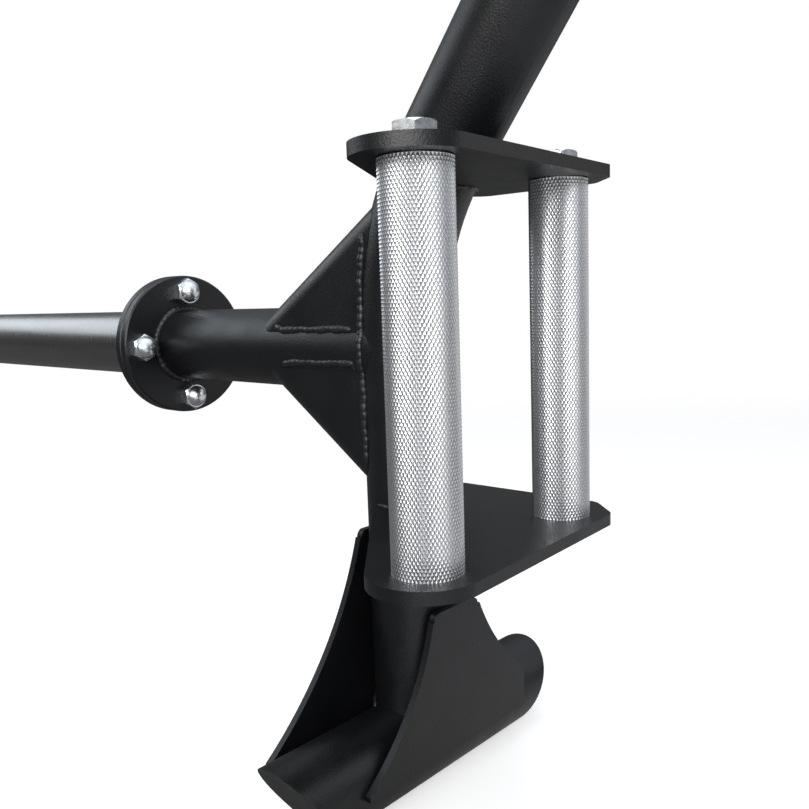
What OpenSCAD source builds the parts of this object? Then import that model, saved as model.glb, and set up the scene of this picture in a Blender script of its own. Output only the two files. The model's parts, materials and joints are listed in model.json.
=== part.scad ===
/* [Whole bar] */
// Distance between the axes of the two side rails
side_span = 834; // [790:1:880]
// Height of the sleeve axis above the floor, with the bar standing on its feet
sleeve_height = 258.5; // [250:0.5:290]
// Height of the top rail's axis above the sleeve axis
arch_rise = 400; // [320:5:440]

/* [Frame tube] */
// Outside diameter of the round frame tube
tube_d = 50.8; // [48:0.1:54]
// Wall of the frame tube
tube_wall = 3; // [2:0.1:5]
// Centreline radius of every bend
bend_r = 144; // [130:1:160]
// Height above the sleeve axis at which a side rail starts to bend
bend_start = 16.8; // [10:0.1:24]
// Angle from the vertical at which a side rail leans in above its first bend
bend_lean = 38.7; // [32:0.1:44]

/* [Sleeve and flanges] */
// Distance from a side rail's axis to its frame flange
stub_len = 224; // [200:1:260]
// Diameter of both flanges
flange_d = 102; // [98:1:120]
// Thickness of each flange
flange_t = 7; // [6:0.1:10]
// Diameter of the circle that the four flange screws lie on
flange_pcd = 78; // [76:1:80]
// Thread diameter of the flange screws
screw_d = 10; // [8:1:10]
// Head diameter of the countersunk flange screws
screw_head_d = 18; // [16:0.5:20]
// Width across flats of a cap nut
nut_af = 17; // [15:0.5:18]
// Height of a cap nut's hexagon
nut_hex_h = 7.5; // [5:0.5:9]
// Whole height of a cap nut
nut_h = 14; // [12:0.5:18]
// Diameter of the plate sleeve
sleeve_d = 50; // [49:0.1:50.5]
// Wall of the plate sleeve
sleeve_wall = 5; // [3:0.5:8]
// Loadable length of the plate sleeve
sleeve_len = 415; // [380:1:450]
// Thickness of the disc that closes the sleeve's outer end
sleeve_cap_t = 4; // [3:0.5:8]

/* [Gussets] */
// Outside width of a folded gusset
gusset_w = 46; // [40:1:47]
// Sheet thickness of a gusset
gusset_t = 3; // [2:0.5:4]
// Outside radius of a gusset's two folds
gusset_fold_r = 14; // [10:0.5:18]
// Distance from the rail's axis to the upper gusset's tip on the stub tube
upper_gusset_reach = 97; // [88:1:110]
// Height of the upper gusset above the sleeve axis, at the rail's outer side
upper_gusset_rise = 70.5; // [64:0.5:76]
// Distance from the rail's axis to the lower gusset's tip on the stub tube
lower_gusset_reach = 93; // [88:1:110]
// Depth of the lower gusset below the sleeve axis, at the rail's outer side
lower_gusset_rise = 71.5; // [64:0.5:76]

/* [Grip plates] */
// Distance between the facing sides of the upper and the lower grip plate
plate_span = 173; // [166:0.5:180]
// Thickness of a grip plate
plate_t = 6; // [5:0.5:8]
// Radius of the plate's rounded front end
plate_nose_r = 26.5; // [24:0.5:29]
// How far that round end's middle lies from the high grip's axis, on the outer side
plate_nose_shift = 1.5; // [0:0.5:4]
// Distance from the low grip's axis to the plate's inboard edge
plate_far = 22.5; // [20:0.5:26]
// Distance from the low grip's axis to the plate's back edge
plate_back = 32; // [28:0.5:36]
// Size of the slanted corner beside the low grip
plate_slant = 18; // [12:0.5:22]
// Radius of that corner's two rounded ends
plate_slant_r = 9; // [4:0.5:14]
// Radius of the plate's corner beside the rail
plate_rail_r = 10; // [4:0.5:14]
// How far the lower plate reaches past the rail's axis
lower_plate_reach = 5; // [0:0.5:10]

/* [Grips] */
// Distance from the side rail's axis inboard to the high grip
high_grip_x = 95.7; // [90:0.1:102]
// Distance from the frame's plane forward to the high grip
high_grip_y = 93.7; // [86:0.1:100]
// Diameter of the high grip
high_grip_d = 32; // [28:0.5:36]
// Distance from the side rail's axis inboard to the low grip
low_grip_x = 89.9; // [84:0.1:96]
// Distance from the frame's plane backward to the low grip
low_grip_y = 20.2; // [14:0.1:26]
// Diameter of the low grip
low_grip_d = 30; // [28:0.5:36]
// Diameter of the turned shoulder at a grip's upper end
shoulder_d = 26; // [20:0.5:27]
// Height of that shoulder
shoulder_h = 0.6; // [0.3:0.1:2]
// Thread diameter of the grip bolts
bolt_d = 12; // [10:1:14]
// Width across flats of a grip bolt's head
bolt_af = 18; // [16:0.5:20]
// Height of a grip bolt's head
bolt_head_h = 7.5; // [6:0.5:9]
// Head diameter of the countersunk screws under the grips
grip_screw_head_d = 21; // [18:0.5:21]
// Depth of the tapped hole in each end of a grip
tapped_depth = 30; // [22:1:40]
// Length of bolt thread held in a grip
thread_grip = 24; // [16:1:28]

/* [Feet] */
// Length of a foot along its axis, between the outer faces of its slanted ends
foot_len = 190; // [176:1:210]
// Slant of the foot's ends from upright, longer at the top
foot_slant = 33.5; // [20:0.5:40]
// Thickness of the plate that closes a slanted end
foot_cap_t = 3; // [2:0.5:5]
// Thickness of a foot plate
foot_plate_t = 4; // [3:0.5:8]
// Height of the outer foot plate above the foot tube's axis
outer_foot_h = 126; // [115:0.1:128]
// Half width of the outer foot plate at its top
outer_foot_top = 16.7; // [12:0.1:19]
// Distance by which the outer foot plate stops short of each end of the foot
outer_foot_inset = 2; // [0:0.5:8]
// Height of the straight lower part of the outer foot plate's sides
outer_foot_side = 10.9; // [2:0.1:14]
// Radius of the hollow sides of the outer foot plate
outer_foot_r = 219; // [180:1:300]
// Height of the inner foot plate above the foot tube's axis
inner_foot_h = 86.2; // [80:0.1:95]
// Distance from the rail's axis forward to the inner foot plate's top corner
inner_foot_front_top = 15.5; // [13:0.1:20]
// Distance from the rail's axis backward to its other top corner
inner_foot_back_top = 23.6; // [19:0.1:26]
// Distance from the rail's axis forward to the inner foot plate's lower corner
inner_foot_front_base = 70.5; // [62:0.5:76]
// Distance from the rail's axis backward to its other lower corner
inner_foot_back_base = 69.5; // [60:0.5:75]
// Height of the straight lower part of the inner foot plate's front side
inner_foot_front_side = 3; // [2:0.1:10]
// Height of the straight lower part of the inner foot plate's back side
inner_foot_back_side = 26.1; // [15:0.1:30]
// Radius of the hollow sides of the inner foot plate
inner_foot_r = 136; // [110:1:180]
// Radius of the foot plates' top corners
foot_corner_r = 4.5; // [2:0.5:8]

/* [Clearances] */
// Gap left between two pieces that are welded together
weld_gap = 0.1; // [0.05:0.05:0.3]
// Gap between a thread and its tapped hole, on the radius
thread_gap = 0.1; // [0.05:0.05:0.2]
// Gap between a bolt and a clearance hole, on the radius
bolt_gap = 0.5; // [0.3:0.1:1]
// Gap between a cap's plug and its tube, on the radius
cap_gap = 0.2; // [0.1:0.1:0.4]
// Chamfer on turned and hexagonal ends
chamfer = 1; // [0.5:0.1:1.5]

/* [Hidden] */
$fn = 64;

black = [0.13, 0.14, 0.15];
silver = [0.72, 0.73, 0.75];
bright = [0.85, 0.86, 0.88];

side_x = side_span / 2;
tube_r = tube_d / 2;
bore_r = tube_r - tube_wall;
sleeve_r = sleeve_d / 2;
cut = 1; // how far a cutting shape runs past what it cuts
nut_crown = 3.5; // metal over the end of the thread in a cap nut
far = 400; // longer than any piece that a cutting shape has to clear
bolt_turn = 12; // how far the bolts' heads are turned
lap = 2; // how far a rail's straight run reaches into the bends at its ends
lap_skin = 0.05; // how much thinner it is on each face, so that it lies within their walls

// A side is drawn round the crossing of its rail's axis and its sleeve's axis:
// X points inboard, Y backward and Z up. The foot tube's axis lies below that point.
foot_z = tube_r - sleeve_height;

// Path of a side rail in its plane: start and end of both bends, as [x, z]
first_bend = [0, bend_start];
first_bend_end = first_bend + bend_r * [1 - cos(bend_lean), sin(bend_lean)];
lean_rise = arch_rise - bend_r * (1 - sin(bend_lean)) - first_bend_end[1];
lean_len = lean_rise / cos(bend_lean);
second_bend = first_bend_end + lean_len * [sin(bend_lean), cos(bend_lean)];
rail_end = second_bend + bend_r * [cos(bend_lean), 1 - sin(bend_lean)];

// Distance that the rail's axis has moved inboard at a height within the first bend
function rail_x(z) = z < bend_start ? 0 : bend_r - sqrt(pow(bend_r, 2) - pow(z - bend_start, 2));

high_grip = [high_grip_x, -high_grip_y];
low_grip = [low_grip_x, low_grip_y];
grips = [high_grip, low_grip];
grip_row = (low_grip - high_grip) / norm(low_grip - high_grip); // from the high to the low grip
grip_side = [grip_row[1], -grip_row[0]]; // square to that, inboard

// Point where a line from p touches the outboard side of a circle
function touch(p, centre, r) =
    let (d = centre - p, turn = atan2(d[1], d[0]) - asin(r / norm(d)))
    p + sqrt(pow(norm(d), 2) - r * r) * [cos(turn), sin(turn)];

// Centre of an arc of radius r from a to b that lies beyond them, seen from the middle
function arc_centre(a, b, r) =
    let (half = (b - a) / 2, along = half / norm(half))
    a + half + sqrt(r * r - half * half) * [-along[1], along[0]];

module left_side() { translate([-side_x, 0, sleeve_height]) children(); }
module right_side() { mirror([1, 0, 0]) left_side() children(); }

// Round bar along X from x = 0 towards -X
module bar_out(r, len) { rotate([0, -90, 0]) cylinder(r = r, h = len); }

// Hexagonal prism with its upper corners turned off
module hexagon(af, h) {
    intersection() {
        cylinder(d = af / cos(30), h = h, $fn = 6);
        cylinder(r1 = af / 2 + h, r2 = af / 2, h = h);
    }
}

// Section of a round bar, or of a tube where hole is its inner radius
module ring(r, hole) {
    difference() {
        circle(r = r);
        if (hole > 0) circle(r = hole);
    }
}

// Round bar or tube along the path of a side rail
module rail_bar(r, hole = 0) {
    translate([0, 0, foot_z]) rail_run(bend_start - foot_z + lap, r, hole);
    rail_bend([first_bend[0] + bend_r, first_bend[1]], 0, bend_lean, r, hole);
    translate([first_bend_end[0], 0, first_bend_end[1]]) rotate([0, bend_lean, 0])
        translate([0, 0, -lap]) rail_run(lean_len + 2 * lap, r, hole);
    rail_bend([rail_end[0], rail_end[1] - bend_r], bend_lean, 90, r, hole);
}

module rail_run(len, r, hole) {
    linear_extrude(len) ring(r - lap_skin, hole > 0 ? hole + lap_skin : 0);
}

module rail_bend(centre, from, to, r, hole) {
    translate([centre[0], 0, centre[1]]) rotate([90, 0, 0]) rotate([0, 0, 180 - to])
        rotate_extrude(angle = to - from) translate([bend_r, 0]) ring(r, hole);
}

module side_rail() {
    color(black) difference() {
        rail_bar(tube_r, bore_r);
        translate([0, 0, foot_z]) rotate([90, 0, 0])
            cylinder(r = tube_r + weld_gap, h = foot_len, center = true);
    }
}

module top_rail() {
    half = side_x - rail_end[0] - weld_gap;
    color(black) translate([0, 0, sleeve_height + arch_rise]) rotate([0, 90, 0]) difference() {
        cylinder(r = tube_r, h = 2 * half, center = true);
        cylinder(r = bore_r, h = 2 * half + 2 * cut, center = true);
    }
}

module stub_tube() {
    color(black) difference() {
        bar_out(tube_r, stub_len - weld_gap);
        translate([cut, 0, 0]) bar_out(bore_r, stub_len + 2 * cut);
        rail_bar(tube_r + weld_gap);
    }
}

// Places its children at the four flange screws, with +Z pointing inboard from the flange
module at_screws() {
    for (turn = [0 : 90 : 270])
        translate([-stub_len, flange_pcd / 2 * sin(turn), flange_pcd / 2 * cos(turn)])
            rotate([0, 90, 0]) children();
}

module frame_flange() {
    color(black) difference() {
        translate([-stub_len, 0, 0]) flange_disc();
        at_screws() translate([0, 0, -flange_t - cut])
            cylinder(r = screw_d / 2 + bolt_gap, h = flange_t + 2 * cut);
    }
}

module flange_disc() {
    rotate([0, -90, 0]) rotate_extrude() polygon([
        [0, 0], [flange_d / 2 - chamfer, 0], [flange_d / 2, chamfer],
        [flange_d / 2, flange_t - chamfer], [flange_d / 2 - chamfer, flange_t], [0, flange_t],
    ]);
}

screw_r = screw_d / 2;
head_h = screw_head_d / 2 - screw_r; // a 90 degree countersink
nut_thread = nut_h - nut_crown; // depth of the thread in a cap nut

module sleeve_flange() {
    color(black) difference() {
        translate([-stub_len - flange_t, 0, 0]) flange_disc();
        at_screws() {
            translate([0, 0, -2 * flange_t - cut])
                cylinder(r = screw_r + bolt_gap, h = flange_t + 2 * cut);
            translate([0, 0, -2 * flange_t - cut]) cylinder(
                r1 = screw_head_d / 2 + bolt_gap + cut, r2 = screw_r + bolt_gap, h = head_h + cut);
        }
    }
}

module flange_screws() {
    color(bright) at_screws() translate([0, 0, -2 * flange_t]) {
        cylinder(r1 = screw_head_d / 2, r2 = screw_r - thread_gap, h = head_h + thread_gap);
        cylinder(r = screw_r - thread_gap, h = 2 * flange_t + nut_thread - cut);
    }
}

module flange_nuts() {
    dome_r = nut_af / 2 - 0.5;
    color(bright) at_screws() difference() {
        union() {
            hexagon(nut_af, nut_hex_h);
            cylinder(r = dome_r, h = nut_h - dome_r);
            translate([0, 0, nut_h - dome_r]) intersection() {
                sphere(r = dome_r);
                translate([0, 0, -cut]) cylinder(r = dome_r + cut, h = dome_r + 2 * cut);
            }
        }
        translate([0, 0, -cut]) cylinder(r = screw_r, h = nut_thread + cut);
    }
}

module sleeve() {
    tube_len = sleeve_len - sleeve_cap_t;
    color(silver) translate([-stub_len - 2 * flange_t - weld_gap, 0, 0]) difference() {
        bar_out(sleeve_r, tube_len - weld_gap);
        translate([cut, 0, 0]) bar_out(sleeve_r - sleeve_wall, tube_len + 2 * cut);
    }
}

// Round cap in the end of a tube, on +Z: a disc outside and a plug inside
module end_cap(r, inner_r, t, plug) {
    rotate_extrude() polygon([
        [0, -plug], [inner_r - cap_gap - chamfer, -plug], [inner_r - cap_gap, chamfer - plug],
        [inner_r - cap_gap, 0], [r, 0], [r, t - chamfer], [r - chamfer, t], [0, t],
    ]);
}

module sleeve_cap() {
    color(silver) translate([-stub_len - 2 * flange_t - sleeve_len + sleeve_cap_t, 0, 0])
        rotate([0, -90, 0]) end_cap(sleeve_r, sleeve_r - sleeve_wall, sleeve_cap_t, 12);
}

// Channel folded from sheet, with its back uppermost, along the line of a gusset's ridge
module gusset_channel(reach, rise, w, fold_r, depth) {
    slope = atan2(rise - tube_r, reach - tube_r);
    translate([-reach, 0, tube_r]) rotate([0, -slope, 0])
        translate([-reach, 0, -depth]) rotate([90, 0, 90]) linear_extrude(3 * reach) {
            for (side = [-1, 1]) translate([side * (w / 2 - fold_r), -fold_r]) circle(r = fold_r);
            translate([-w / 2, -far]) square([w, far - fold_r]);
            translate([fold_r - w / 2, -far]) square([w - 2 * fold_r, far]);
        }
}

// The cheeks end inside the two tubes, which then cut them to their own curve
module gusset_above(reach, rise) {
    inside = sqrt(pow(tube_r, 2) - pow(gusset_w / 2, 2)) - 2;
    difference() {
        intersection() {
            gusset_channel(reach, rise, gusset_w, gusset_fold_r, 0);
            translate([-2 * reach, -gusset_w, inside])
                cube([2 * reach + inside, 2 * gusset_w, 2 * rise]);
        }
        gusset_channel(reach, rise, gusset_w - 2 * gusset_t, gusset_fold_r - gusset_t, gusset_t);
        bar_out(tube_r + weld_gap, 2 * reach);
        children();
    }
}

module upper_gusset() {
    color(black) gusset_above(upper_gusset_reach, upper_gusset_rise)
        rail_bar(tube_r + weld_gap);
}

module lower_gusset() {
    color(black) mirror([0, 0, 1]) gusset_above(lower_gusset_reach, lower_gusset_rise)
        cylinder(r = tube_r + weld_gap, h = far, center = true);
}

// Outline of a grip plate whose outer edge lies at x = edge
module plate_outline(edge) {
    start = [edge, -tube_r];
    nose = high_grip - plate_nose_shift * grip_side;
    corner = low_grip + plate_far * grip_side + plate_back * grip_row;
    set_in = plate_slant_r * tan(22.5);
    side_corner = corner - (plate_slant + set_in) * grip_row - plate_slant_r * grip_side;
    back_corner = corner - (plate_slant + set_in) * grip_side - plate_slant_r * grip_row;
    slanted = plate_slant_r * (grip_side + grip_row) / sqrt(2);
    rail_corner_x = edge + plate_rail_r;
    rail_corner = [rail_corner_x, low_grip[1]
        + (plate_back - plate_rail_r - (rail_corner_x - low_grip[0]) * grip_row[0]) / grip_row[1]];
    polygon([
        start,
        touch(start, nose, plate_nose_r),
        nose + plate_nose_r * grip_side,
        side_corner + plate_slant_r * grip_side,
        side_corner + slanted,
        back_corner + slanted,
        back_corner + plate_slant_r * grip_row,
        rail_corner + plate_rail_r * grip_row,
        rail_corner - [plate_rail_r, 0],
    ]);
    translate(nose) circle(r = plate_nose_r);
    for (c = [side_corner, back_corner]) translate(c) circle(r = plate_slant_r);
    translate(rail_corner) circle(r = plate_rail_r);
}

module grip_plate(edge, z) {
    color(black) difference() {
        translate([0, 0, z]) linear_extrude(plate_t) difference() {
            plate_outline(edge);
            for (g = grips) translate(g) circle(r = bolt_d / 2 + bolt_gap);
        }
        rail_bar(tube_r + weld_gap);
    }
}

module upper_grip_plate() { grip_plate(rail_x(plate_span / 2), plate_span / 2); }

grip_head_h = (grip_screw_head_d - bolt_d) / 2; // a 90 degree countersink

// Places its children at the two grips, on the underside of the lower grip plate
module at_lower_screws() {
    for (g = grips) translate([g[0], g[1], -plate_span / 2 - plate_t]) children();
}

module lower_grip_plate() {
    color(black) difference() {
        grip_plate(-lower_plate_reach, -plate_span / 2 - plate_t);
        at_lower_screws() translate([0, 0, -cut]) cylinder(r1 = grip_screw_head_d / 2 + bolt_gap + cut,
            r2 = bolt_d / 2 + bolt_gap, h = grip_head_h + cut);
    }
}

module grip(place, d) {
    r = d / 2;
    body = plate_span - shoulder_h;
    color(bright) translate([place[0], place[1], -plate_span / 2]) difference() {
        rotate_extrude() polygon([
            [0, 0], [r - chamfer / 2, 0], [r, chamfer / 2],
            [r, body - chamfer / 2], [r - chamfer / 2, body],
            [shoulder_d / 2, body], [shoulder_d / 2, plate_span], [0, plate_span],
        ]);
        translate([0, 0, -cut]) cylinder(r = bolt_d / 2, h = tapped_depth + cut);
        translate([0, 0, plate_span - tapped_depth]) cylinder(r = bolt_d / 2, h = tapped_depth + cut);
    }
}

module high_grip() { grip(high_grip, high_grip_d); }
module low_grip() { grip(low_grip, low_grip_d); }

// Hexagon bolt with the underside of its head at z = 0 and its shank below
module grip_bolt() {
    rotate([0, 0, bolt_turn]) hexagon(bolt_af, bolt_head_h);
    shank = plate_t + thread_grip;
    translate([0, 0, -shank]) cylinder(r = bolt_d / 2 - thread_gap, h = shank + cut);
}

module grip_bolts() {
    color(bright) for (g = grips)
        translate([g[0], g[1], plate_span / 2 + plate_t]) grip_bolt();
}

// Countersunk screws that hold the grips' lower ends, flush with the plate
module lower_grip_screws() {
    screw_shank_r = bolt_d / 2 - thread_gap;
    color(bright) at_lower_screws() {
        cylinder(r1 = grip_screw_head_d / 2, r2 = screw_shank_r, h = grip_head_h + thread_gap);
        cylinder(r = screw_shank_r, h = plate_t + thread_grip);
    }
}

// Outline of a foot plate, upright, with the foot tube's axis at the origin. The lists hold the
// value of the front first: how far out its top corner, how far out and how high its lower one lies.
module foot_outline(h, tops, bases, sides, r) {
    difference() {
        translate([-bases[0], 0]) square([bases[0] + bases[1], h]);
        for (k = [0, 1]) mirror([1 - k, 0]) {
            translate(arc_centre([tops[k], h], [bases[k], sides[k]], r)) circle(r = r, $fn = 128);
            translate([tops[k] - foot_corner_r, h - foot_corner_r]) difference() {
                square([bases[k], 2 * foot_corner_r]);
                circle(r = foot_corner_r);
            }
        }
    }
}

// Stands a foot plate upright across the frame, with its outer face at x
module foot_plate(x) {
    color(black) translate([x, 0, foot_z]) rotate([90, 0, 90]) linear_extrude(foot_plate_t) children();
}

module outer_foot_plate() {
    base = foot_len / 2 - outer_foot_inset;
    foot_plate(-tube_r - weld_gap - foot_plate_t) foot_outline(outer_foot_h,
        [outer_foot_top, outer_foot_top], [base, base], [outer_foot_side, outer_foot_side], outer_foot_r);
}

module inner_foot_plate() {
    foot_plate(tube_r + weld_gap) foot_outline(inner_foot_h,
        [inner_foot_front_top, inner_foot_back_top], [inner_foot_front_base, inner_foot_back_base],
        [inner_foot_front_side, inner_foot_back_side], inner_foot_r);
}

// Everything beyond the two slanted planes that cross the foot's axis at y = -reach and reach
module beyond_slants(reach) {
    for (s = [0, 1]) mirror([0, s, 0]) translate([0, reach, 0]) rotate([-foot_slant, 0, 0])
        translate([-far / 2, 0, -far / 2]) cube(far);
}

module foot_tube() {
    color(black) translate([0, 0, foot_z]) difference() {
        rotate([90, 0, 0]) cylinder(r = tube_r, h = far, center = true);
        rotate([90, 0, 0]) cylinder(r = bore_r, h = far + 2 * cut, center = true);
        beyond_slants(foot_len / 2 - foot_cap_t - weld_gap);
    }
}

module foot_caps() {
    color(black) translate([0, 0, foot_z]) difference() {
        intersection() {
            rotate([90, 0, 0]) cylinder(r = tube_r, h = far, center = true);
            beyond_slants(foot_len / 2 - foot_cap_t);
        }
        beyond_slants(foot_len / 2);
    }
}

module left_side_rail() { left_side() side_rail(); }
module right_side_rail() { right_side() side_rail(); }
module left_stub_tube() { left_side() stub_tube(); }
module right_stub_tube() { right_side() stub_tube(); }
module left_frame_flange() { left_side() frame_flange(); }
module right_frame_flange() { right_side() frame_flange(); }
module left_sleeve_flange() { left_side() sleeve_flange(); }
module right_sleeve_flange() { right_side() sleeve_flange(); }
module left_sleeve() { left_side() sleeve(); }
module right_sleeve() { right_side() sleeve(); }
module left_sleeve_cap() { left_side() sleeve_cap(); }
module right_sleeve_cap() { right_side() sleeve_cap(); }
module left_flange_screws() { left_side() flange_screws(); }
module right_flange_screws() { right_side() flange_screws(); }
module left_flange_nuts() { left_side() flange_nuts(); }
module right_flange_nuts() { right_side() flange_nuts(); }
module left_upper_gusset() { left_side() upper_gusset(); }
module right_upper_gusset() { right_side() upper_gusset(); }
module left_lower_gusset() { left_side() lower_gusset(); }
module right_lower_gusset() { right_side() lower_gusset(); }
module left_upper_grip_plate() { left_side() upper_grip_plate(); }
module right_upper_grip_plate() { right_side() upper_grip_plate(); }
module left_lower_grip_plate() { left_side() lower_grip_plate(); }
module right_lower_grip_plate() { right_side() lower_grip_plate(); }
module left_high_grip() { left_side() high_grip(); }
module right_high_grip() { right_side() high_grip(); }
module left_low_grip() { left_side() low_grip(); }
module right_low_grip() { right_side() low_grip(); }
module left_grip_bolts() { left_side() grip_bolts(); }
module right_grip_bolts() { right_side() grip_bolts(); }
module left_lower_grip_screws() { left_side() lower_grip_screws(); }
module right_lower_grip_screws() { right_side() lower_grip_screws(); }
module left_outer_foot_plate() { left_side() outer_foot_plate(); }
module right_outer_foot_plate() { right_side() outer_foot_plate(); }
module left_inner_foot_plate() { left_side() inner_foot_plate(); }
module right_inner_foot_plate() { right_side() inner_foot_plate(); }
module left_foot_tube() { left_side() foot_tube(); }
module right_foot_tube() { right_side() foot_tube(); }
module left_foot_caps() { left_side() foot_caps(); }
module right_foot_caps() { right_side() foot_caps(); }

top_rail();
left_side_rail();
right_side_rail();
left_stub_tube();
right_stub_tube();
left_frame_flange();
right_frame_flange();
left_sleeve_flange();
right_sleeve_flange();
left_sleeve();
right_sleeve();
left_sleeve_cap();
right_sleeve_cap();
left_flange_screws();
right_flange_screws();
left_flange_nuts();
right_flange_nuts();
left_upper_gusset();
right_upper_gusset();
left_lower_gusset();
right_lower_gusset();
left_upper_grip_plate();
right_upper_grip_plate();
left_lower_grip_plate();
right_lower_grip_plate();
left_high_grip();
right_high_grip();
left_low_grip();
right_low_grip();
left_grip_bolts();
right_grip_bolts();
left_lower_grip_screws();
right_lower_grip_screws();
left_outer_foot_plate();
right_outer_foot_plate();
left_inner_foot_plate();
right_inner_foot_plate();
left_foot_tube();
right_foot_tube();
left_foot_caps();
right_foot_caps();
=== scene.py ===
"""Looks of the open-ended trap bar: powder-coated frame, knurled grips, turned sleeves, zinc bolts.

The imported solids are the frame. The grips get their real diamond knurl, and the joints of the
frame get their weld beads. Lengths are in metres.
"""

import json
import math

import bpy
from mathutils import Matrix, Vector


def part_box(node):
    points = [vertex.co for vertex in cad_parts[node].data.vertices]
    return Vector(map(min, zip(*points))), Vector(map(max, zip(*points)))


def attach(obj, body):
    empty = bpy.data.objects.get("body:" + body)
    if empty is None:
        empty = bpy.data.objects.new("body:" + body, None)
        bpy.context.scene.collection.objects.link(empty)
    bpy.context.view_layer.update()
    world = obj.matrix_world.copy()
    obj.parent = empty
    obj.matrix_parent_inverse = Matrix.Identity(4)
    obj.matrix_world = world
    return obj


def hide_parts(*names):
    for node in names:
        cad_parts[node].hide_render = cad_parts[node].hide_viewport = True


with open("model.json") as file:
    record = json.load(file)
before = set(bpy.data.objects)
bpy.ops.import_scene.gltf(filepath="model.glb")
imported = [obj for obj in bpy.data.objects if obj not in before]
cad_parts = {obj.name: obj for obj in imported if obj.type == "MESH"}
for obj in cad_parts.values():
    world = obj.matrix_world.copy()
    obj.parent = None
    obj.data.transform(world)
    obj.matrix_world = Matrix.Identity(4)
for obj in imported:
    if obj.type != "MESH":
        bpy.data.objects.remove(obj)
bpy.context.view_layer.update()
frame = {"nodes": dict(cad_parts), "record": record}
nodes = frame["nodes"]
SIDES = ("left", "right")
WAYS = (("front", -1), ("back", 1))  # with the sign of Y there
MM = 0.001

# Driving sizes of the frame, as the solids have them
TUBE_R = 25.4 * MM
SLEEVE_R = 25 * MM
BEND_R = 144 * MM
BEND_START = 16.8 * MM
STUB_LEN = 224 * MM
FLANGE_T = 7 * MM
GUSSET_W = 46 * MM
GUSSET_FOLD_R = 14 * MM
UPPER_GUSSET = (97 * MM, 70.5 * MM)  # reach along the stub tube, rise along the rail
LOWER_GUSSET = (93 * MM, 71.5 * MM)

# The left side's own frame starts where its rail's axis crosses its sleeve's axis, with X inboard
rail_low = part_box("left_side_rail")[0]
sleeve_low, sleeve_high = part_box("left_sleeve")
plate_low, plate_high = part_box("left_upper_grip_plate")
SIDE_X = -rail_low.x - TUBE_R
SLEEVE_Z = (sleeve_low.z + sleeve_high.z) / 2
PLATE_TOP = plate_high.z - SLEEVE_Z
PLATE_UNDER = plate_low.z - SLEEVE_Z
FOOT_Z = TUBE_R - SLEEVE_Z  # height of the foot tube's axis


# Shader nodes. In these functions tree is a collection of nodes, and links is that of their links.


def new_material(name):
    """(material, its nodes, its links, its Principled BSDF)"""
    material = bpy.data.materials.new(name)
    material.use_nodes = True
    tree = material.node_tree
    return material, tree.nodes, tree.links, tree.nodes["Principled BSDF"]


def add(tree, kind, **values):
    """A new shader node with these inputs or properties set."""
    node = tree.new(kind)
    for name, value in values.items():
        key = name.replace("_", " ").title()
        if key in node.inputs:
            node.inputs[key].default_value = value
        else:
            setattr(node, name, value)
    return node


def ramp(tree, stops):
    """A colour ramp with these (position, grey or colour) stops."""
    node = tree.new("ShaderNodeValToRGB")
    points = node.color_ramp.elements
    while len(points) < len(stops):
        points.new(0.5)
    for point, (position, colour) in zip(points, stops):
        if not isinstance(colour, tuple):
            colour = (colour,) * 3
        point.position = position
        point.color = (*colour, 1)
    return node


def noise(tree, links, coords, scale, detail, stretch=(1, 1, 1)):
    """Noise over object space, with its grain 1/scale metres wide."""
    mapping = add(tree, "ShaderNodeMapping", scale=stretch)
    links.new(coords.outputs["Object"], mapping.inputs["Vector"])
    texture = add(tree, "ShaderNodeTexNoise", scale=scale, detail=detail)
    links.new(mapping.outputs["Vector"], texture.inputs["Vector"])
    return texture


def combine(tree, links, operation, a, b):
    """Output of one step of arithmetic on two outputs, or on an output and a number."""
    step = add(tree, "ShaderNodeMath", operation=operation)
    links.new(a, step.inputs[0])
    if isinstance(b, float):
        step.inputs[1].default_value = b
    else:
        links.new(b, step.inputs[1])
    return step.outputs["Value"]


def dot_product(tree, links, vector, direction):
    """Output of the dot product of a vector output and a fixed direction."""
    product = add(tree, "ShaderNodeVectorMath", operation="DOT_PRODUCT")
    links.new(vector, product.inputs[0])
    product.inputs[1].default_value = direction
    return product.outputs["Value"]


def smooth_step(tree, links, value, start, end, low=0.0, high=1.0):
    """Output that eases from low to high as a value goes from start to end."""
    step = add(tree, "ShaderNodeMapRange", interpolation_type="SMOOTHSTEP")
    for name, limit in (("From Min", start), ("From Max", end), ("To Min", low), ("To Max", high)):
        step.inputs[name].default_value = limit
    links.new(value, step.inputs["Value"])
    return step.outputs["Result"]


def mix_shaders(tree, links, share, first, second):
    """Output of the second shader by this share, and of the first by the rest."""
    mix = tree.new("ShaderNodeMixShader")
    links.new(share, mix.inputs["Fac"])
    links.new(first, mix.inputs[1])
    links.new(second, mix.inputs[2])
    return mix.outputs["Shader"]


def dress(tree, links, surface, tint, roughness, relief, metallic=0.0):
    """Tint and roughness are (source, ramp's stops), relief is (source, strength, height)."""
    for socket, (source, stops) in (("Base Color", tint), ("Roughness", roughness)):
        shades = ramp(tree, stops)
        links.new(source.outputs["Fac"], shades.inputs["Fac"])
        links.new(shades.outputs["Color"], surface.inputs[socket])
    source, strength, height = relief
    bump = add(tree, "ShaderNodeBump", strength=strength, distance=height)
    links.new(source.outputs["Fac"], bump.inputs["Height"])
    links.new(bump.outputs["Normal"], surface.inputs["Normal"])
    surface.inputs["Metallic"].default_value = metallic


# Materials


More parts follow.
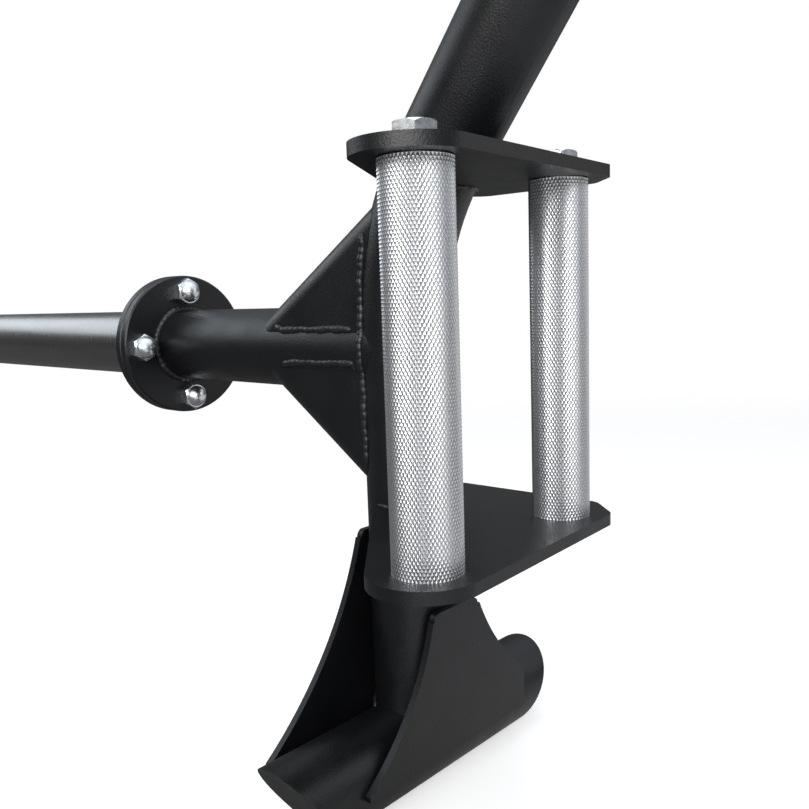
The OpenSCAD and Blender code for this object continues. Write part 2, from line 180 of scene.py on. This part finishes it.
def powder_coat(name, dark, light, grain_scale, grain_height):
    """Satin black powder coat with a fine leathery grain that sparkles where it is lit."""
    material, tree, links, surface = new_material(name)
    coords = tree.new("ShaderNodeTexCoord")
    tone = noise(tree, links, coords, scale=9, detail=3)
    shine = noise(tree, links, coords, scale=60, detail=3)
    grain = noise(tree, links, coords, scale=grain_scale, detail=2)
    dress(
        tree,
        links,
        surface,
        tint=(tone, [(0.35, dark), (0.65, light)]),
        roughness=(shine, [(0.3, 0.34), (0.7, 0.42)]),
        relief=(grain, 0.5, grain_height),
    )
    return material


def turned_steel():
    """Plate sleeve: turned steel, fine rings round its axis and faint streaks."""
    material, tree, links, surface = new_material("sleeve_steel")
    coords = tree.new("ShaderNodeTexCoord")
    rings = noise(tree, links, coords, scale=1, detail=4, stretch=(2600, 40, 40))
    streaks = noise(tree, links, coords, scale=1, detail=3, stretch=(5, 60, 60))
    dress(
        tree,
        links,
        surface,
        tint=(streaks, [(0.3, (0.24, 0.236, 0.228)), (0.7, (0.32, 0.316, 0.308))]),
        roughness=(rings, [(0.3, 0.24), (0.7, 0.36)]),
        relief=(rings, 0.12, 0.03 * MM),
        metallic=1.0,
    )
    return material


def zinc_plating():
    """Bright zinc with faint mottling and fine grain."""
    material, tree, links, surface = new_material("zinc")
    coords = tree.new("ShaderNodeTexCoord")
    mottle = noise(tree, links, coords, scale=130, detail=3)
    shine = noise(tree, links, coords, scale=500, detail=2)
    grain = noise(tree, links, coords, scale=1 / (0.9 * MM), detail=2)
    dress(
        tree,
        links,
        surface,
        tint=(mottle, [(0.3, (0.86, 0.89, 0.91)), (0.7, (0.92, 0.95, 0.97))]),
        roughness=(shine, [(0.3, 0.22), (0.7, 0.34)]),
        relief=(grain, 0.15, 0.04 * MM),
        metallic=1.0,
    )
    return material


def knurled_chrome():
    """Bright plating on a knurl, rougher down in its grooves, with painted shade darkening their
    bottoms.
    """
    material, tree, links, surface = new_material("knurled_chrome")
    groove = add(tree, "ShaderNodeAttribute", attribute_name="groove")
    coords = tree.new("ShaderNodeTexCoord")
    grain = noise(tree, links, coords, scale=1600, detail=2)
    # Crest and slope tints are the plating; the grooves' bottom tint is painted shade in the
    # valleys.
    crest, slope, groove_painted_shade = (0.9, 0.91, 0.93), (0.86, 0.87, 0.89), (0.42, 0.42, 0.43)
    dress(
        tree,
        links,
        surface,
        tint=(groove, [(0.0, crest), (0.5, slope), (1.0, groove_painted_shade)]),
        roughness=(groove, [(0.0, 0.24), (1.0, 0.38)]),
        relief=(grain, 0.15, 0.04 * MM),
        metallic=1.0,
    )
    return material


looks = {
    "powder_coat": powder_coat(
        "powder_coat", (0.003, 0.0034, 0.0041), (0.0044, 0.0049, 0.0058), 1000, 0.3 * MM
    ),
    "sleeve_steel": turned_steel(),
    "zinc": zinc_plating(),
    "knurled_chrome": knurled_chrome(),
}
# The same coat over a weld, whose scale and spatter make it rough; its tint is painted lighter, a
# painted highlight for the light the bead's crests catch.
weld_coat_painted_highlight = powder_coat(
    "weld_coat_painted_highlight", (0.006, 0.0065, 0.0075), (0.012, 0.0125, 0.014), 650, 0.45 * MM
)

slot_of = {part["node"]: part["material_slot"] for part in frame["record"]["subparts"]}
for name, solid in nodes.items():
    solid.data.materials.clear()
    solid.data.materials.append(looks[slot_of[name]])

# Plates, gussets, bolts and nuts have their edges broken, by the ending of a node's name
EDGE = {
    "grip_plate": 0.7 * MM,
    "foot_plate": 0.6 * MM,
    "gusset": 0.5 * MM,
    "grip_bolts": 0.4 * MM,
    "flange_nuts": 0.35 * MM,
}
EDGE_STEPS = 2
EDGE_ANGLE = math.radians(40)  # an edge that turns by more than this is broken
for name, solid in nodes.items():
    for ending, width in EDGE.items():
        if name.endswith(ending):
            bevel = solid.modifiers.new("broken_edges", "BEVEL")
            bevel.width = width
            bevel.segments = EDGE_STEPS
            bevel.limit_method = "ANGLE"
            bevel.angle_limit = EDGE_ANGLE
            bevel.harden_normals = True


# Pieces


def finish_piece(mesh, name, slot, look=None, smooth=True):
    """Links a mesh as a piece that rides on the bar and takes its finish from a slot."""
    piece = bpy.data.objects.new(name, mesh)
    bpy.context.scene.collection.objects.link(piece)
    mesh.materials.append(look or looks[slot])
    for polygon in mesh.polygons:
        polygon.use_smooth = smooth
    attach(piece, "root")
    return piece


KNURL_PITCH = 1.8 * MM  # between crests, round the grip
KNURL_RISE = 3.19 * MM  # between crests, along the grip
KNURL_DEPTH = 0.28 * MM
KNURL_FLAT = 0.14  # share of a diamond's half width that its flat top takes
CORNERS = ((1, 0), (0, 1), (-1, 0), (0, -1))  # of a diamond, in half diamonds round and up
SHOULDER_R = 13 * MM
SHOULDER_H = 0.6 * MM


def knurled_grip(node):
    """A grip with a diamond knurl from end to end and a turned shoulder at its upper end."""
    low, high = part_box(node)
    middle = (low + high) / 2
    radius = (high.x - low.x) / 2
    length = high.z - low.z - SHOULDER_H
    around = round(2 * math.pi * radius / KNURL_PITCH)
    rows = 2 * round(length / KNURL_RISE)
    mesh_points, index = [], {}

    def point(i, j, depth):
        """Index of the point i half diamonds round and j half diamonds up."""
        key = (round(i % (2 * around), 3), round(j, 3))
        if key not in index:
            turn = math.pi * i / around
            x = middle.x + (radius - depth) * math.cos(turn)
            y = middle.y + (radius - depth) * math.sin(turn)
            index[key] = len(mesh_points)
            mesh_points.append((x, y, low.z + length * j / rows))
        return index[key]

    def corners(i, j, share, depth):
        """The corners of a diamond, or of this share of it. None stands for one past an end."""
        return [
            point(i + share * a, j + share * b, depth) if 0 <= j + b <= rows else None
            for a, b in CORNERS
        ]

    faces, ends = [], {0: [], rows: []}
    for j in range(rows + 1):
        for i in range((j + 1) % 2, 2 * around, 2):
            valley = corners(i, j, 1, KNURL_DEPTH)
            crest = corners(i, j, KNURL_FLAT, 0)
            for k in range(len(CORNERS)):
                if None not in (valley[k], valley[k - 1]):
                    faces.append([valley[k - 1], valley[k], crest[k], crest[k - 1]])
            faces.append([c for c in crest if c is not None])
            if j in ends:
                ends[j] += [valley[2], crest[2], crest[0]]
    # The ends: a flat face below, a step in to the shoulder above
    faces.append(ends[0][::-1])
    rings = [ends[rows]]
    for height in (0, SHOULDER_H):
        ring = []
        for p in rings[0]:
            x, y, z = mesh_points[p]
            spoke = Vector((x - middle.x, y - middle.y)).normalized() * SHOULDER_R
            ring.append(len(mesh_points))
            mesh_points.append((middle.x + spoke.x, middle.y + spoke.y, z + height))
        rings.append(ring)
    count = len(rings[0])
    for k in range(count):
        n = (k + 1) % count
        for ring, following in zip(rings, rings[1:]):
            faces.append([ring[k], ring[n], following[n], following[k]])
    faces.append(rings[-1])
    mesh = bpy.data.meshes.new(node + "_knurl")
    mesh.from_pydata(mesh_points, [], faces)
    mesh.validate()
    # How far down a groove each point lies, which sets the knurl's roughness and its painted shade.
    grooves = mesh.attributes.new("groove", "FLOAT", "POINT")
    for vertex, share in zip(mesh.vertices, grooves.data):
        away = Vector((vertex.co.x - middle.x, vertex.co.y - middle.y)).length
        on_knurl = away > radius - 2 * KNURL_DEPTH
        share.value = (radius - away) / KNURL_DEPTH if on_knurl else 0
    piece = finish_piece(mesh, node + "_knurl", "knurled_chrome", smooth=False)
    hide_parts(node)


for side in SIDES:
    for grip in ("high_grip", "low_grip"):
        knurled_grip(f"{side}_{grip}")


# Weld beads

BEAD_SIDES = 12
RIPPLE_LEN = 4.4 * MM  # length of one ripple of a bead
RINGS_PER_RIPPLE = 9
MIN_RINGS = 8
RIPPLE = 0.14  # share of the bead's radius that a ripple adds
STRAY = 0.35 * MM  # how far a bead strays to each side
TAPER_RINGS = 8  # at each open end
TAPER = 0.35  # share of the radius that is left there
# Slow waves along a bead, each as (height, its length over 2 pi, phase)
WANDER = ((0.09, 7 * MM, 0), (0.06, 2.3 * MM, 1))  # of its radius, as a share
SWAY = ((0.8, 11 * MM, 0),)  # of its ripples' place
STRAY_WAVES = ((0.6, 1.9 * MM, 0), (0.7, 4.3 * MM, 2))


def waves(s, parts):
    """The sum of these waves at a distance s along a bead."""
    return sum(height * math.sin(s / length + phase) for height, length, phase in parts)


def even(path, closed, spacing):
    """The path resampled at about this spacing."""
    ends = path + [path[0]] if closed else path
    lengths = [0.0]
    for a, b in zip(ends, ends[1:]):
        lengths.append(lengths[-1] + (b - a).length)
    count = max(MIN_RINGS, round(lengths[-1] / spacing))
    result, k = [], 0
    for n in range(count if closed else count + 1):
        s = lengths[-1] * n / count
        while k < len(lengths) - 2 and lengths[k + 1] < s:
            k += 1
        share = (s - lengths[k]) / max(lengths[k + 1] - lengths[k], 1e-9)
        result.append(ends[k].lerp(ends[k + 1], min(share, 1)))
    return result


def weld_bead(name, path, radius, closed=False, rough=1.0):
    """A rippled bead along a path of points in the left side's frame, on both sides of the bar."""
    spacing = RIPPLE_LEN / RINGS_PER_RIPPLE
    points = even(path, closed, spacing)
    count = len(points)
    surface = []
    for k, p in enumerate(points):
        before = points[k - 1] if closed or k else p
        after = points[(k + 1) % count] if closed or k < count - 1 else p
        along = (after - before).normalized()
        if k:
            first = (first - along * first.dot(along)).normalized()
        else:
            first = along.orthogonal().normalized()
        second = along.cross(first)
        s = k * spacing
        ripple = abs(math.sin(math.pi * s / RIPPLE_LEN + waves(s, SWAY)))
        r = radius * (1 + rough * (waves(s, WANDER) + RIPPLE * ripple))
        if not closed:
            r *= min(1, TAPER + (1 - TAPER) * min(k, count - 1 - k) / TAPER_RINGS)
        sideways = first if abs(first.y) < abs(second.y) else second
        p = p + sideways * (rough * STRAY * waves(s, STRAY_WAVES))
        for n in range(BEAD_SIDES):
            turn = 2 * math.pi * n / BEAD_SIDES
            surface.append(p + first * (r * math.cos(turn)) + second * (r * math.sin(turn)))
    for side in SIDES:
        mirror = 1 if side == "left" else -1
        mesh_points = [(mirror * (q.x - SIDE_X), q.y, q.z + SLEEVE_Z) for q in surface]
        faces = []
        for k in range(count if closed else count - 1):
            a, b = k * BEAD_SIDES, ((k + 1) % count) * BEAD_SIDES
            for n in range(BEAD_SIDES):
                m = (n + 1) % BEAD_SIDES
                faces.append([a + n, a + m, b + m, b + n][::mirror])
        if not closed:
            last = (count - 1) * BEAD_SIDES
            faces.append(list(range(BEAD_SIDES))[::-mirror])
            faces.append(list(range(last, last + BEAD_SIDES))[::mirror])
        mesh = bpy.data.meshes.new(f"{side}_{name}")
        mesh.from_pydata(mesh_points, [], faces)
        finish_piece(mesh, f"{side}_{name}", "powder_coat", weld_coat_painted_highlight if rough else None)


X_AXIS, Z_AXIS = Vector((1, 0, 0)), Vector((0, 0, 1))
MIDDLE = Vector((0, 0, 0))


def circle(centre, axis, radius, start=0.0, sweep=360.0, steps=72):
    """Points round a circle, from +Z for the X axis and from +X for the Z axis, in degrees."""
    first = X_AXIS if axis == Z_AXIS else Z_AXIS
    second = axis.cross(first)
    turns = [math.radians(start + sweep * k / steps) for k in range(steps + 1)]
    return [
        centre + first * (radius * math.cos(turn)) + second * (radius * math.sin(turn))
        for turn in turns
    ]


def rail_x(z):
    """How far the rail's axis has moved inboard at a height within its first bend."""
    return 0 if z < BEND_START else BEND_R - math.sqrt(BEND_R**2 - (z - BEND_START) ** 2)


def fold_start(size, x):
    """Distance from the sleeve's axis at which a gusset's cheek turns into its fold, at x."""
    reach, rise = size
    slope = math.atan2(rise - TUBE_R, reach - TUBE_R)
    return TUBE_R + (x + reach) * math.tan(slope) - GUSSET_FOLD_R / math.cos(slope)


def front_depth(z):
    """How far a gusset's cheek, or else the stub tube, stands in front of the frame's plane."""
    return max(GUSSET_W / 2, math.sqrt(max(TUBE_R**2 - z * z, 0)))


# Along the gussets' cheeks, where they run out on the rail and on the stub tube
GUSSET_BEAD_R = 2.2 * MM
BEAD_SUNK = 1.1 * MM
RAIL_BEAD_X = -13 * MM  # from the rail's axis
RAIL_BEAD_LEAN = 0.5  # share of the rail's own lean
RAIL_BEAD_STEPS = 60
upper_end = fold_start(UPPER_GUSSET, RAIL_BEAD_X) + 4.5 * MM
lower_end = -fold_start(LOWER_GUSSET, RAIL_BEAD_X) - 2 * MM
# Each bead on the stub tube as (name, its height, its points as x and rise above that height)
STUB_BEADS = (
    (
        "upper_gusset_stub_weld",
        12.2 * MM,
        (
            (6 * MM - UPPER_GUSSET[0], 2 * MM),
            (16 * MM - UPPER_GUSSET[0], 0),
            (-20 * MM, 0.8 * MM),
        ),
    ),
    (
        "lower_gusset_stub_weld",
        -7.4 * MM,
        (
            (9 * MM - LOWER_GUSSET[0], -2 * MM),
            (19 * MM - LOWER_GUSSET[0], 0),
            (-20 * MM, 0.8 * MM),
            (-18.5 * MM, -3 * MM),
        ),
    ),
)
for way, front in WAYS:
    along_rail = []
    for k in range(RAIL_BEAD_STEPS + 1):
        z = upper_end + (lower_end - upper_end) * k / RAIL_BEAD_STEPS
        x = RAIL_BEAD_X + RAIL_BEAD_LEAN * rail_x(z)
        along_rail.append(Vector((x, front * (front_depth(z) - BEAD_SUNK), z)))
    weld_bead(f"gusset_rail_weld_{way}", along_rail, GUSSET_BEAD_R)
    for name, z, run in STUB_BEADS:
        depth = front * (front_depth(z) - BEAD_SUNK)
        along_stub = [Vector((x, depth, z + rise)) for x, rise in run]
        weld_bead(f"{name}_{way}", along_stub, GUSSET_BEAD_R)

# Where the stub tube is let on to the rail, beyond the rail's beads: ground almost flush
GROUND_R = 1.2 * MM
GROUND_SUNK = 0.96  # as a share of the bead's radius
GROUND_REACH = 13 * MM  # above and below the stub tube's axis
GROUND_STEPS = 9
for way, front in WAYS:
    crease = []
    for k in range(-GROUND_STEPS, GROUND_STEPS + 1):
        z = GROUND_REACH * k / GROUND_STEPS
        depth = math.sqrt(TUBE_R**2 - z * z) - GROUND_SUNK * GROUND_R
        crease.append(Vector((-abs(z), front * depth, z)))
    weld_bead(f"stub_saddle_weld_{way}", crease, GROUND_R, rough=0)

# Round the stub tube's end at the flange, and round the sleeve's start
for name, x, path_r, bead_r in (
    ("flange_weld", -STUB_LEN, TUBE_R + 0.6 * MM, 2.7 * MM),
    ("sleeve_weld", -STUB_LEN - 2 * FLANGE_T, SLEEVE_R + 0.4 * MM, 1.5 * MM),
):
    ring = circle(Vector((x, 0, 0)), X_AXIS, path_r)[:-1]
    weld_bead(name, ring, bead_r, closed=True)

# Round the rail's inboard side, where the grip plates are let in
PLATE_BEAD_R = 1.3 * MM
UPPER_TURNS = (-84, 168)  # start and sweep in degrees
LOWER_TURNS = (-96, 192)
for name, z in (
    ("upper_plate_weld_over", PLATE_TOP),
    ("upper_plate_weld_under", PLATE_UNDER),
    ("lower_plate_weld_over", -PLATE_UNDER),
    ("lower_plate_weld_under", -PLATE_TOP),
):
    if z > 0:
        lean = math.asin((z - BEND_START) / BEND_R)
        oval = circle(MIDDLE, Z_AXIS, TUBE_R, *UPPER_TURNS)
        path = [Vector((rail_x(z) + p.x / math.cos(lean), p.y, z)) for p in oval]
    else:
        path = circle(Vector((0, 0, z)), Z_AXIS, TUBE_R, *LOWER_TURNS)
    weld_bead(name, path, PLATE_BEAD_R)

# Round the rail's foot. The seam with the foot tube rises with y, but this line rises with x, so
# the two only meet at 45 degrees.
FOOT_BEAD_R = 1.8 * MM
foot_ring = circle(MIDDLE, Z_AXIS, TUBE_R)[:-1]
saddle = [Vector((p.x, p.y, FOOT_Z + abs(p.x))) for p in foot_ring]
weld_bead("foot_saddle_weld", saddle, FOOT_BEAD_R, closed=True)


# Stage

FLOOR_REACH = 30.0
FLOOR_CORNERS = ((-1, -1), (1, -1), (1, 1), (-1, 1))
floor_mesh = bpy.data.meshes.new("floor")
floor_mesh.from_pydata(
    [(FLOOR_REACH * x, FLOOR_REACH * y, 0) for x, y in FLOOR_CORNERS], [], [[0, 1, 2, 3]]
)
floor = bpy.data.objects.new("floor", floor_mesh)
bpy.context.scene.collection.objects.link(floor)

WHITE = (1, 1, 1, 1)
FLOOR_PALE = 0.9
FLOOR_ROUGHNESS = 0.9
FLOOR_LIFT = 0.53  # white that the floor adds to its own light, for the camera and for reflections
FLOOR_WHITE_FROM_TO = (1.0, 2.2)  # distances over which the camera comes to see plain white
# The bar sees the floor get darker toward the outboard end of the studio
BRIGHT_END = 0.5  # share of the floor's paleness in front of the grips
DARK_END = 0.12  # share of it at the dark end
DARK_END_FROM_TO = (-0.47, -0.33)  # places on the line below
DARK_END_LINE = (1, 0.4, 0)  # along X, and a little along Y


def floor_material():
    """Pale floor that takes the bar's shadow, and plain white further out for the camera."""
    material, tree, links, surface = new_material("floor")
    ray = tree.new("ShaderNodeLightPath").outputs
    coords = tree.new("ShaderNodeTexCoord").outputs["Object"]
    place = dot_product(tree, links, coords, DARK_END_LINE)
    end = smooth_step(tree, links, place, *DARK_END_FROM_TO, DARK_END, BRIGHT_END)
    shown = combine(tree, links, "MAXIMUM", ray["Is Camera Ray"], end)
    pale = combine(tree, links, "MULTIPLY", shown, FLOOR_PALE)
    links.new(pale, surface.inputs["Base Color"])
    surface.inputs["Roughness"].default_value = FLOOR_ROUGHNESS
    surface.inputs["Specular IOR Level"].default_value = 0.0

    looked_at = combine(tree, links, "MAXIMUM", ray["Is Camera Ray"], ray["Is Glossy Ray"])
    looked_at_shown = combine(tree, links, "MULTIPLY", looked_at, shown)
    lift = add(tree, "ShaderNodeEmission", color=WHITE)
    strength = combine(tree, links, "MULTIPLY", looked_at_shown, FLOOR_LIFT)
    links.new(strength, lift.inputs["Strength"])
    near = tree.new("ShaderNodeAddShader")
    links.new(surface.outputs["BSDF"], near.inputs[0])
    links.new(lift.outputs["Emission"], near.inputs[1])

    distance = add(tree, "ShaderNodeVectorMath", operation="LENGTH")
    links.new(coords, distance.inputs[0])
    fade = smooth_step(tree, links, distance.outputs["Value"], *FLOOR_WHITE_FROM_TO)
    share = combine(tree, links, "MULTIPLY", fade, ray["Is Camera Ray"])
    white = add(tree, "ShaderNodeEmission", color=WHITE, strength=1.0)
    floor_look = mix_shaders(
        tree, links, share, near.outputs["Shader"], white.outputs["Emission"]
    )
    links.new(floor_look, tree["Material Output"].inputs["Surface"])
    return material


floor_mesh.materials.append(floor_material())

SIDE_LIGHT = (0.93, 0.96, 1.0, 1)
SIDE_LIGHT_STRENGTH = 0.3
TOWARD_WHITE = (0.12, -0.05, 0.99)
# What metal sees from the dark end of the studio, low down, up to the white overhead
STUDIO = [(0.0, 0.11), (0.28, 0.14), (0.45, (0.45, 0.5, 0.55)), (0.8, (0.88, 0.94, 1.0))]


def studio_world():
    """Faint light from all round, white for the camera, and the studio for metal to mirror."""
    world = bpy.data.worlds.new("studio")
    world.use_nodes = True
    tree, links = world.node_tree.nodes, world.node_tree.links
    ray = tree.new("ShaderNodeLightPath").outputs
    light_side = tree["Background"]
    light_side.inputs["Color"].default_value = SIDE_LIGHT
    light_side.inputs["Strength"].default_value = SIDE_LIGHT_STRENGTH
    shown_side = add(tree, "ShaderNodeBackground", color=WHITE, strength=1.0)
    mirrored = tree.new("ShaderNodeBackground")
    direction = tree.new("ShaderNodeTexCoord").outputs["Generated"]
    studio = ramp(tree, STUDIO)
    links.new(dot_product(tree, links, direction, TOWARD_WHITE), studio.inputs["Fac"])
    links.new(studio.outputs["Color"], mirrored.inputs["Color"])
    clear = combine(tree, links, "MAXIMUM", ray["Is Glossy Ray"], ray["Is Transmission Ray"])
    seen = light_side.outputs["Background"]
    for share, shader in ((clear, mirrored), (ray["Is Camera Ray"], shown_side)):
        seen = mix_shaders(tree, links, share, seen, shader.outputs["Background"])
    links.new(seen, tree["World Output"].inputs["Surface"])
    return world


bpy.context.scene.world = studio_world()


def softbox(name, place, target, size, power, colour=(1, 1, 1)):
    """A rectangular soft light at a place, facing a target."""
    lamp = bpy.data.lights.new(name, "AREA")
    lamp.shape = "RECTANGLE"
    lamp.size, lamp.size_y = size
    lamp.energy = power
    lamp.color = colour
    holder = bpy.data.objects.new(name, lamp)
    holder.visible_camera = False
    bpy.context.scene.collection.objects.link(holder)
    holder.location = place
    facing = Vector(target) - Vector(place)
    holder.rotation_euler = facing.to_track_quat("-Z", "Y").to_euler()


# Name, place, target, size, power and colour
softbox("key", (0.45, -1.5, 0.78), (-0.3, -0.1, 0.3), (3.0, 1.1), 13)
softbox("near", (0.1, -0.95, 0.66), (-0.32, -0.09, 0.3), (0.9, 0.45), 6.8)
softbox("right", (0.4, 0.85, 0.6), (-0.32, 0, 0.28), (0.7, 0.7), 0.9)
softbox("top", (-0.2, -0.2, 2.6), (-0.3, 0, 0.3), (1.6, 1.2), 14, (0.9, 0.95, 1.0))
softbox("strip", (-2.4, -0.55, 1.13), (-0.5, 0, 0.28), (1.6, 0.8), 8, (0.86, 0.93, 1.0))


# Camera

# Solved from the photograph: place, heading, downward pitch, roll, and focal length in pixels
IMAGE_WIDTH = 809
FOCAL_PX = 841.77
SENSOR_WIDTH_MM = 36
CAMERA_PLACE = Vector((0.32839 - SIDE_X, -0.35395, 0.03165 + SLEEVE_Z))
YAW, PITCH, ROLL = (math.radians(a) for a in (46.93, 7.46, -1.94))
forward = Vector(
    (-math.cos(YAW) * math.cos(PITCH), math.sin(YAW) * math.cos(PITCH), -math.sin(PITCH))
)
level = Vector((math.sin(YAW), math.cos(YAW), 0))
upright = level.cross(forward)
right = math.cos(ROLL) * level + math.sin(ROLL) * upright
up = math.cos(ROLL) * upright - math.sin(ROLL) * level
camera_data = bpy.data.cameras.new("camera")
camera_data.sensor_width = SENSOR_WIDTH_MM
camera_data.lens = SENSOR_WIDTH_MM * FOCAL_PX / IMAGE_WIDTH
camera_data.clip_start = 0.01
camera = bpy.data.objects.new("camera", camera_data)
bpy.context.scene.collection.objects.link(camera)
looking = Matrix((right, up, -forward)).transposed().to_4x4()
camera.matrix_world = Matrix.Translation(CAMERA_PLACE) @ looking
bpy.context.scene.camera = camera
bpy.context.scene.view_settings.view_transform = "Standard"
